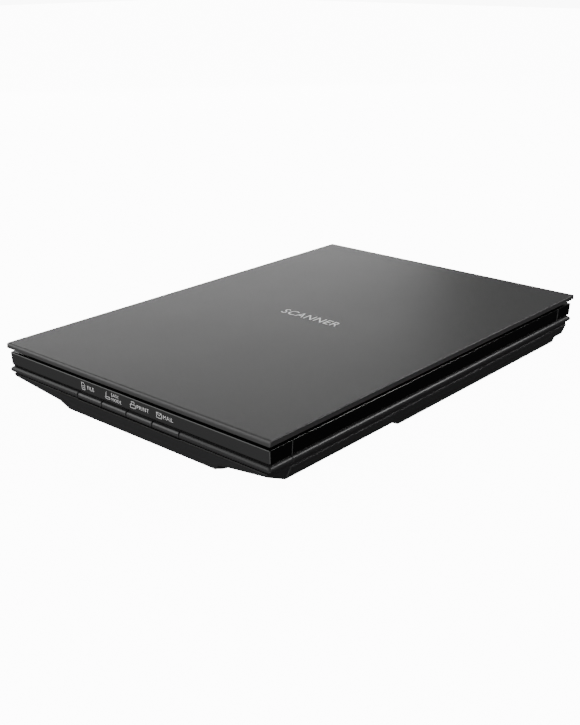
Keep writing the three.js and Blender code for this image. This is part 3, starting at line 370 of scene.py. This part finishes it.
# ---- Bezels ----
# Four black mouldings clipped round the case, the front and rear ones wrapping round its corners.
# Each carries its polished panel and, under the groove, its length of the bead in a satin finish.
BEZEL_EDGE = 0.0004
BEZEL_CORNER = 0.0012
BEZEL_DEPTH = 0.0045
PANEL_HEIGHT = 0.0098
bezel_satin = plastic("bezel_satin", (0.019, 0.019, 0.0195), 0.38, tone=0.2, shine=0.3)
bezel_gloss = plastic(
    "bezel_gloss", (0.0015, 0.0015, 0.0017), 0.2, tone=0.05, smudge=0.03, depth=0, shine=0.5,
)
bead_from = (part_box("right_bezel")[1][2] - PANEL_HEIGHT, bezel_satin)
lid_right, lid_rear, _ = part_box("lid_plate")[1]


def round_corners(skin):
    """Rounds the upright corners, where the front and side faces meet in a mitre."""
    def mitred(v):
        inset = lid_right - abs(v.co.x)
        return inset < BEZEL_DEPTH and abs(inset - lid_rear + abs(v.co.y)) < WELD

    corners = [e for e in skin.edges if mitred(e.verts[0]) and mitred(e.verts[1])]
    bmesh.ops.bevel(
        skin, geom=corners, offset=BEZEL_CORNER, offset_type="OFFSET", segments=4, profile=0.5,
        affect="EDGES", clamp_overlap=False, material=-1,
    )


for side, bezel_slot in (
    ("front", "matt_bezel"), ("rear", "matt_bezel"), ("left", "gloss_bezel"), ("right", "gloss_bezel"),
):
    moulding(
        side + "_band", side + "_bezel", BEZEL_EDGE, "base", bezel_gloss, sharpest=35,
        shape=round_corners, lower=bead_from,
    )

# ---- Buttons ----
# Four satin caps in the bead's own section, each moulded with a stem that works a switch behind it.
# Their ends are rounded, which leaves a short dark notch between neighbours.
button_satin = plastic("button_satin", (0.019, 0.019, 0.0195), 0.34, tone=0.2, shine=0.5)
BUTTON_EDGE = 0.0005
BUTTONS = (("document", -1.5), ("auto", -0.5), ("copy", 0.5), ("send", 1.5))
for key, _ in BUTTONS:
    moulding(
        key + "_cap", key + "_button", BUTTON_EDGE, key + "_key", button_satin, sharpest=35,
    )

# ---- Button legends ----
# White ink, pad printed on the panel above each button: a small pictogram and a plain word.
INK = 0.00004
INK_LINE = 0.0003
WORD_THINNING = 0.00004
WORD_HEIGHT = 0.0028
PAIR_HEIGHT = 0.0023
WORD_LEADING = 1.4
LETTER_SPACE = 1.08
CAPITAL_SHARE = 0.7
LEGEND_FROM_BUTTON = -0.0055
WORD_FROM_ICON = 0.0034
button_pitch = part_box("auto_button")[0][0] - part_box("document_button")[0][0]
panel_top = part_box("front_bezel")[1][2]
lid_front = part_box("lid_plate")[0][1]
PANEL_FACE = lid_front + 0.0015
PANEL_DROP = 0.0047
PANEL_LEAN = 0.0005 / 0.0096
white_ink = plastic("white_ink", (0.95, 0.95, 0.95), 0.5, grain_scale=3000, tone=0.15, smudge=0.05, depth=0)


def on_panel(x):
    """The frame of a print on the front panel: across, up the leaning face, and out of it."""
    across = Vector((1, 0, 0))
    up = Vector((0, -PANEL_LEAN, 1)).normalized()
    place = Matrix((across, up, across.cross(up))).transposed().to_4x4()
    place.translation = (x, PANEL_FACE + PANEL_LEAN * PANEL_DROP, panel_top - PANEL_DROP)
    return place


def add_word(mesh, text, height, x, y):
    """A word in plain sans letters, raised by the thickness of the ink."""
    curve = bpy.data.curves.new("word", "FONT")
    curve.body = text
    curve.size = height / CAPITAL_SHARE
    curve.extrude = INK / 2
    curve.offset = -WORD_THINNING
    curve.resolution_u = 3
    curve.space_character = LETTER_SPACE
    holder = bpy.data.objects.new("word", curve)
    bpy.context.scene.collection.objects.link(holder)
    bpy.context.view_layer.update()
    flat = bpy.data.meshes.new_from_object(holder)
    bpy.data.objects.remove(holder)
    flat.transform(Matrix.Translation((x, y, INK / 2)))
    mesh.from_mesh(flat)
    bpy.data.meshes.remove(flat)


def add_stroke(mesh, points, closed=False):
    """A printed line of even width through a few points."""
    ends = points[1:] + points[:1] if closed else points[1:]
    for (x0, y0), (x1, y1) in zip(points, ends):
        length = math.hypot(x1 - x0, y1 - y0) + INK_LINE
        turn = Matrix.Rotation(math.atan2(y1 - y0, x1 - x0), 4, "Z")
        bar = Matrix.Translation(((x0 + x1) / 2, (y0 + y1) / 2, INK / 2)) @ turn
        bmesh.ops.create_cube(mesh, size=1, matrix=bar @ Matrix.Diagonal((length, INK_LINE, INK, 1)))


def printed(name, mesh, place, body):
    """Puts a print in its place as a piece of its own."""
    mesh.transform(place)
    bmesh.ops.remove_doubles(mesh, verts=mesh.verts, dist=1e-7)
    bmesh.ops.recalc_face_normals(mesh, faces=mesh.faces)
    made = bpy.data.meshes.new(name)
    mesh.to_mesh(made)
    mesh.free()
    made.materials.append(white_ink)
    piece = bpy.data.objects.new(name, made)
    bpy.context.scene.collection.objects.link(piece)
    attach(piece, body)
    return piece


MM = 0.001
ICONS = {
    "document": [
        ([(-2, -2.5), (1, -2.5), (1, 1.3), (-0.2, 2.5), (-2, 2.5)], True),
        ([(-1, -1), (0.2, -1)], False),
        ([(-1, 0.3), (0.2, 0.3)], False),
    ],
    "auto": [
        ([(-2.2, -2.4), (1.8, -2.4), (1.8, -0.9), (-2.2, -0.9)], True),
        ([(-2.2, -0.9), (-1.2, 2.4)], False),
    ],
    "copy": [
        ([(-2.3, -2), (2.3, -2), (2.3, 0.4), (-2.3, 0.4)], True),
        ([(-1.3, 0.4), (-1.3, 2.4), (1.3, 2.4), (1.3, 0.4)], False),
    ],
    "send": [
        ([(-2.3, -1.8), (2.3, -1.8), (2.3, 1.8), (-2.3, 1.8)], True),
        ([(-2.3, 1.8), (0, -0.3), (2.3, 1.8)], False),
    ],
}
WORDS = {"document": ("FILE",), "auto": ("EASY", "MODE"), "copy": ("PRINT",), "send": ("MAIL",)}
for key, column in BUTTONS:
    x = column * button_pitch + LEGEND_FROM_BUTTON
    legend = bmesh.new()
    for points, closed in ICONS[key]:
        add_stroke(legend, [(px * MM, py * MM) for px, py in points], closed)
    lines = WORDS[key]
    height = PAIR_HEIGHT if len(lines) > 1 else WORD_HEIGHT
    for row, word in enumerate(lines):
        lift = ((len(lines) - 1) / 2 - row) * height * WORD_LEADING - height / 2
        add_word(legend, word, height, WORD_FROM_ICON, lift)
    printed(key + "_legend", legend, on_panel(x), "base")

# ---- Upper case ----
# The deck round the platen: a black ABS moulding with a fine matt grain, its openings cut for the
# glass, the calibration strip and the hinge posts. The posts run in two tubes welded under it.
deck_black = plastic("deck_black", (0.035, 0.035, 0.0355), 0.5, grain_scale=1500, tone=0.3, shine=0.45)
moulding("deck", "upper_case", 0.0002, "base", deck_black, sharpest=35, segments=2)
for side in ("left", "right"):
    moulding(
        side + "_post_guide", side + "_hinge_socket", 0.0003, "base", deck_black, segments=2,
    )

# ---- Platen glass ----
# A pane of clear float glass, its edges ground, held under the lip of the deck.
glass = bpy.data.materials.new("float_glass")
glass.use_nodes = True
glass_tree = glass.node_tree
glass_shader = glass_tree.nodes["Principled BSDF"]
glass_shader.inputs["Base Color"].default_value = (0.92, 0.97, 0.95, 1)
glass_shader.inputs["Transmission Weight"].default_value = 1.0
glass_shader.inputs["IOR"].default_value = 1.52
haze_place = glass_tree.nodes.new("ShaderNodeTexCoord")
haze = glass_tree.nodes.new("ShaderNodeTexNoise")
haze.inputs["Scale"].default_value = 18
haze.inputs["Detail"].default_value = 5
haze_range = glass_tree.nodes.new("ShaderNodeMapRange")
haze_range.inputs["From Min"].default_value = 0.45
haze_range.inputs["From Max"].default_value = 0.75
haze_range.inputs["To Min"].default_value = 0.01
haze_range.inputs["To Max"].default_value = 0.05
glass_tree.links.new(haze_place.outputs["Object"], haze.inputs["Vector"])
glass_tree.links.new(haze.outputs["Fac"], haze_range.inputs["Value"])
glass_tree.links.new(haze_range.outputs["Result"], glass_shader.inputs["Roughness"])
finish(glass, "platen_glass")

# ---- Calibration strip ----
# A strip of even white film under the front lip, which the sensor reads before each scan.
white_film = plastic(
    "white_film", (0.8, 0.8, 0.78), 0.45, grain_scale=2200, tone=0.04, smudge=0.08, depth=0.00001,
)
finish(white_film, "calibration_strip")

# ---- Circuit boards ----
# Glass-epoxy boards under green solder mask, with copper tracks showing through it: one behind the
# buttons, the main one at the rear and one under the sensor's lens.


def tracked_mask(name, pitch):
    """Solder mask over tracks that run in rows and turn at right angles."""
    made = bpy.data.materials.new(name)
    made.use_nodes = True
    tree = made.node_tree
    shader = tree.nodes["Principled BSDF"]
    shader.inputs["Roughness"].default_value = 0.28
    place = tree.nodes.new("ShaderNodeTexCoord")
    rows = tree.nodes.new("ShaderNodeTexBrick")
    rows.inputs["Scale"].default_value = 1 / pitch
    rows.inputs["Mortar Size"].default_value = 0.03
    rows.inputs["Mortar Smooth"].default_value = 0.2
    rows.inputs["Color1"].default_value = (0.008, 0.075, 0.025, 1)
    rows.inputs["Color2"].default_value = (0.010, 0.088, 0.030, 1)
    rows.inputs["Mortar"].default_value = (0.025, 0.17, 0.06, 1)
    raised = tree.nodes.new("ShaderNodeBump")
    raised.inputs["Distance"].default_value = 0.00003
    raised.inputs["Strength"].default_value = 0.6
    tree.links.new(place.outputs["Object"], rows.inputs["Vector"])
    tree.links.new(rows.outputs["Color"], shader.inputs["Base Color"])
    tree.links.new(rows.outputs["Fac"], raised.inputs["Height"])
    tree.links.new(raised.outputs["Normal"], shader.inputs["Normal"])
    return made


finish(tracked_mask("solder_mask", 0.008), "button_board", "main_board", "sensor_board")

# ---- Switches and chip ----
# Black moulded epoxy: four press switches behind the button caps and the controller on the main board.
epoxy = plastic("epoxy", (0.012, 0.012, 0.013), 0.6, grain_scale=4000, tone=0.5, depth=0.00001)
finish(epoxy, "tact_switch_1", "tact_switch_2", "tact_switch_3", "tact_switch_4", "controller_chip")

# ---- Data socket and ribbon connector ----
# A folded tinplate shell at the rear edge of the main board, and a white moulded connector at its
# front edge for the flat cable.
finish(plated_steel, "usb_receptacle")
acetal = plastic("acetal", (0.78, 0.77, 0.72), 0.38, grain_scale=500, tone=0.05, smudge=0.1, depth=0.00001)
finish(acetal, "ribbon_connector")

# ---- Rack, shaft and mounts ----
# An acetal rack lies along the floor beside a ground steel shaft, which two acetal blocks hold.
finish(acetal, "rack", "front_shaft_mount", "rear_shaft_mount")
ground_steel = metal("ground_steel", (0.6, 0.61, 0.63), 0.18, (1, 0.05, 1))
moulding("shaft", "guide_shaft", 0.0003, "base", ground_steel, sharpest=45)

# ---- Flat cable ----
# Copper conductors side by side between two films of polyester, bluish where the copper ends are
# covered. It runs along the floor and rises to the carriage. The real cable rolls over itself as the
# carriage goes; this one keeps a single fixed shape.
CONDUCTOR_PITCH = 0.001
CABLE_STEPS = 90
CABLE_THICKNESS = 0.0004
CABLE_SLACK = 0.0006
PLUG_RISE = 0.0014
OFF_PLUG = (0.0975, 0.0875)
OFF_FLOOR = (0.03, -0.07)
TO_TRAY = (-0.141, -0.151)
WAVE_SHARE = 3.18
cable_low, cable_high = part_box("ribbon_cable")
cable_floor = cable_low[2] + CABLE_THICKNESS / 2
cable_tray = cable_high[2] - CABLE_THICKNESS / 2
cable_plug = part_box("ribbon_connector")[0][2] + PLUG_RISE


def ramp(y, start, end):
    """0 to the rear of start, 1 in front of end, and smooth between them."""
    t = min(max((start - y) / (start - end), 0), 1)
    return t * t * (3 - 2 * t)


def cable_height(y):
    """How high the cable lies: off its plug, along the floor, then up to hang under the carriage."""
    down = (cable_floor - cable_plug) * ramp(y, *OFF_PLUG)
    up = (cable_tray - CABLE_SLACK - cable_floor) * ramp(y, *OFF_FLOOR)
    return cable_plug + down + up + CABLE_SLACK * ramp(y, *TO_TRAY)


cable_film = bpy.data.materials.new("cable_film")
cable_film.use_nodes = True
film_tree = cable_film.node_tree
film_shader = film_tree.nodes["Principled BSDF"]
film_shader.inputs["Roughness"].default_value = 0.25
film_place = film_tree.nodes.new("ShaderNodeTexCoord")
film_stripes = film_tree.nodes.new("ShaderNodeTexWave")
film_stripes.wave_type = "BANDS"
film_stripes.bands_direction = "X"
film_stripes.inputs["Scale"].default_value = 1 / CONDUCTOR_PITCH / WAVE_SHARE
film_tone = film_tree.nodes.new("ShaderNodeValToRGB")
film_tone.color_ramp.elements[0].position = 0.35
film_tone.color_ramp.elements[0].color = (0.72, 0.76, 0.82, 1)
film_tone.color_ramp.elements[1].position = 0.65
film_tone.color_ramp.elements[1].color = (0.42, 0.44, 0.46, 1)
film_tree.links.new(film_place.outputs["Object"], film_stripes.inputs["Vector"])
film_tree.links.new(film_stripes.outputs["Fac"], film_tone.inputs["Fac"])
film_tree.links.new(film_tone.outputs["Color"], film_shader.inputs["Base Color"])
cable_skin = bmesh.new()
bmesh.ops.create_grid(cable_skin, x_segments=1, y_segments=CABLE_STEPS, size=0.5)
for v in cable_skin.verts:
    v.co.x = (cable_low[0] + cable_high[0]) / 2 + v.co.x * (cable_high[0] - cable_low[0])
    v.co.y = (cable_low[1] + cable_high[1]) / 2 + v.co.y * (cable_high[1] - cable_low[1])
    v.co.z = cable_height(v.co.y) + CABLE_THICKNESS / 2
bmesh.ops.solidify(cable_skin, geom=cable_skin.faces[:], thickness=CABLE_THICKNESS)
bmesh.ops.recalc_face_normals(cable_skin, faces=cable_skin.faces)
cable_mesh = bpy.data.meshes.new("flat_cable")
cable_skin.to_mesh(cable_mesh)
cable_skin.free()
cable_mesh.materials.append(cable_film)
flat_cable = bpy.data.objects.new("flat_cable", cable_mesh)
bpy.context.scene.collection.objects.link(flat_cable)
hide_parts("ribbon_cable")
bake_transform(flat_cable)

# ---- Carriage ----
# A black glass-filled tray that slides on the shaft and carries the sensor's housing between two
# bowed springs, with acetal sliders that bear on the underside of the glass.
carriage_black = plastic("carriage_black", (0.018, 0.018, 0.019), 0.55, grain_scale=700, tone=0.5, smudge=0.1)
for name, node, edge in (("tray", "carriage_tray", 0.00025), ("sensor_body", "sensor_housing", 0.0003)):
    moulding(name, node, edge, "carriage", carriage_black, sharpest=40, segments=2)
finish(acetal, "left_glass_slider", "right_glass_slider")
spring_steel = metal("spring_steel", (0.45, 0.45, 0.46), 0.35, (0.1, 1, 1))
finish(spring_steel, "left_pressure_spring", "right_pressure_spring")

# ---- Rod lens and light guide ----
# A row of glass rods set in dark resin reads the page. Beside it a clear acrylic bar spreads the
# light of a lamp at its end.
ROD_PITCH = 0.0009
lens_row = bpy.data.materials.new("lens_row")
lens_row.use_nodes = True
row_tree = lens_row.node_tree
row_shader = row_tree.nodes["Principled BSDF"]
row_shader.inputs["Roughness"].default_value = 0.12
row_shader.inputs["Coat Weight"].default_value = 0.6
row_place = row_tree.nodes.new("ShaderNodeTexCoord")
rods = row_tree.nodes.new("ShaderNodeTexVoronoi")
rods.inputs["Scale"].default_value = 1 / ROD_PITCH
rods.inputs["Randomness"].default_value = 0.15
rod_tone = row_tree.nodes.new("ShaderNodeValToRGB")
rod_tone.color_ramp.elements[0].position = 0.3
rod_tone.color_ramp.elements[0].color = (0.35, 0.38, 0.36, 1)
rod_tone.color_ramp.elements[1].position = 0.5
rod_tone.color_ramp.elements[1].color = (0.01, 0.01, 0.012, 1)
row_tree.links.new(row_place.outputs["Object"], rods.inputs["Vector"])
row_tree.links.new(rods.outputs["Distance"], rod_tone.inputs["Fac"])
row_tree.links.new(rod_tone.outputs["Color"], row_shader.inputs["Base Color"])
finish(lens_row, "rod_lens")
clear_acrylic = plastic("clear_acrylic", (0.86, 0.89, 0.93), 0.12, grain_scale=120, tone=0.05, depth=0)
clear_acrylic.node_tree.nodes["Principled BSDF"].inputs["Transmission Weight"].default_value = 0.6
finish(clear_acrylic, "light_guide")

# ---- Motor ----
# A small can motor on the tray's shelf: a drawn steel can, and a rotor on a ground shaft that goes
# down through the shelf to its pinion.
drawn_steel = metal("drawn_steel", (0.5, 0.5, 0.51), 0.28, (1, 1, 0.08))
moulding("motor_can", "stepper_motor", 0.0006, "carriage", drawn_steel, sharpest=45)
moulding("rotor", "motor_rotor", 0.0002, "motor_gear", drawn_steel, sharpest=45)

# ---- Gears ----
# An acetal pinion turns a compound gear on the tray's stub, whose small wheel walks along the rack.
finish(acetal, "motor_pinion", "compound_gear")

# ---- Hinge posts and pins ----
# Two black acetal posts that rise in their tubes so that the lid can lie flat on a thick book, each
# with a steel pin through its knuckle.
for side in ("left", "right"):
    moulding(side + "_post", side + "_hinge_post", 0.0003, "posts", deck_black, segments=2)
    moulding(side + "_pin", side + "_hinge_pin", 0.0002, "lid", ground_steel, sharpest=45)

# ---- Lid plate ----
# A flat shell in dark grey plastic, the whole size of the scanner, with a coarse matt spatter on top.
# Its knuckles hang from the rear edge.
lid_grey = plastic(
    "lid_grey", (0.034, 0.034, 0.0343), 0.42, grain_scale=1100, tone=0.5, smudge=0.04, depth=0.00003,
)
top_of_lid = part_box("lid_plate")[1][2]


def lower_top(skin):
    """Leaves room for the print on the top face."""
    for v in skin.verts:
        if v.co.z > top_of_lid - INK:
            v.co.z = top_of_lid - INK


lid_cover = moulding(
    "lid_cover", "lid_plate", 0.0002, "lid", lid_grey, sharpest=30, shape=lower_top,
)
# The rounding may not reach past the plate's sides.
for v in lid_cover.data.vertices:
    v.co.x = min(max(v.co.x, -lid_right), lid_right)

# ---- Lid print ----
# One plain word across the middle of the lid, in the same white ink as the legends.
LID_WORD = "SCANNER"
LID_WORD_HEIGHT = 0.0092
LID_WORD_WIDTH = 0.054
LID_WORD_X = 0.0015
lid_word = bmesh.new()
add_word(lid_word, LID_WORD, LID_WORD_HEIGHT, 0, 0)
reach = max(v.co.x for v in lid_word.verts)
spread = Matrix.Diagonal((LID_WORD_WIDTH / reach, 1, 1, 1))
lid_word.transform(Matrix.Translation((-LID_WORD_WIDTH / 2, -LID_WORD_HEIGHT / 2, 0)) @ spread)
printed("lid_word", lid_word, Matrix.Translation((LID_WORD_X, 0, top_of_lid - INK)), "lid")

# ---- Lid liner ----
# The moulding that closes the underside of the plate, with a skirt round the foam.
moulding("liner", "lid_liner", 0.0003, "lid", deck_black, segments=2)

# ---- Foam pad ----
# A sheet of open-celled foam glued under the liner. Its cut edges are soft and its face dips a little
# between the places where it was pressed on.
PAD_SAG = 0.0004
PAD_SHRINK = 0.0002
PAD_EDGE = 0.0006
PAD_CUTS = 28
LONG_EDGE = 0.1
WAVES_X = 95
WAVES_Y = 70
foam_low, foam_high = (Vector(c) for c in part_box("foam_pad"))
foam = bmesh.new()
bmesh.ops.create_cube(foam, size=1)
bmesh.ops.scale(foam, vec=foam_high - foam_low - 2 * PAD_SHRINK * Vector((1, 1, 0.5)), verts=foam.verts)
bmesh.ops.bevel(
    foam, geom=foam.edges[:], offset=PAD_EDGE, offset_type="OFFSET", segments=3, profile=0.5, affect="EDGES",
    clamp_overlap=False, material=-1,
)
long_edges = [e for e in foam.edges if e.calc_length() > LONG_EDGE]
bmesh.ops.subdivide_edges(foam, edges=long_edges, cuts=PAD_CUTS, use_grid_fill=True)
bmesh.ops.translate(foam, vec=(foam_low + foam_high) / 2, verts=foam.verts)
lower_face = (foam_low.z + foam_high.z) / 2
for v in foam.verts:
    if v.co.z < lower_face:
        v.co.z += PAD_SAG * (0.5 + 0.5 * math.sin(v.co.x * WAVES_X) * math.sin(v.co.y * WAVES_Y))
for face in foam.faces:
    face.smooth = True
foam_mesh = bpy.data.meshes.new("foam")
foam.to_mesh(foam_mesh)
foam.free()
cells = plastic("foam_cells", (0.62, 0.62, 0.6), 0.95, grain_scale=1300, tone=0.6, smudge=0.02, depth=0.0004)
foam_mesh.materials.append(cells)
foam_piece = bpy.data.objects.new("foam", foam_mesh)
bpy.context.scene.collection.objects.link(foam_piece)
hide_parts("foam_pad")
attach(foam_piece, "lid")

# ---- Document sheet ----
# White polyester film bonded to the foam, the backing that shows behind every page.
finish(white_film, "document_sheet")
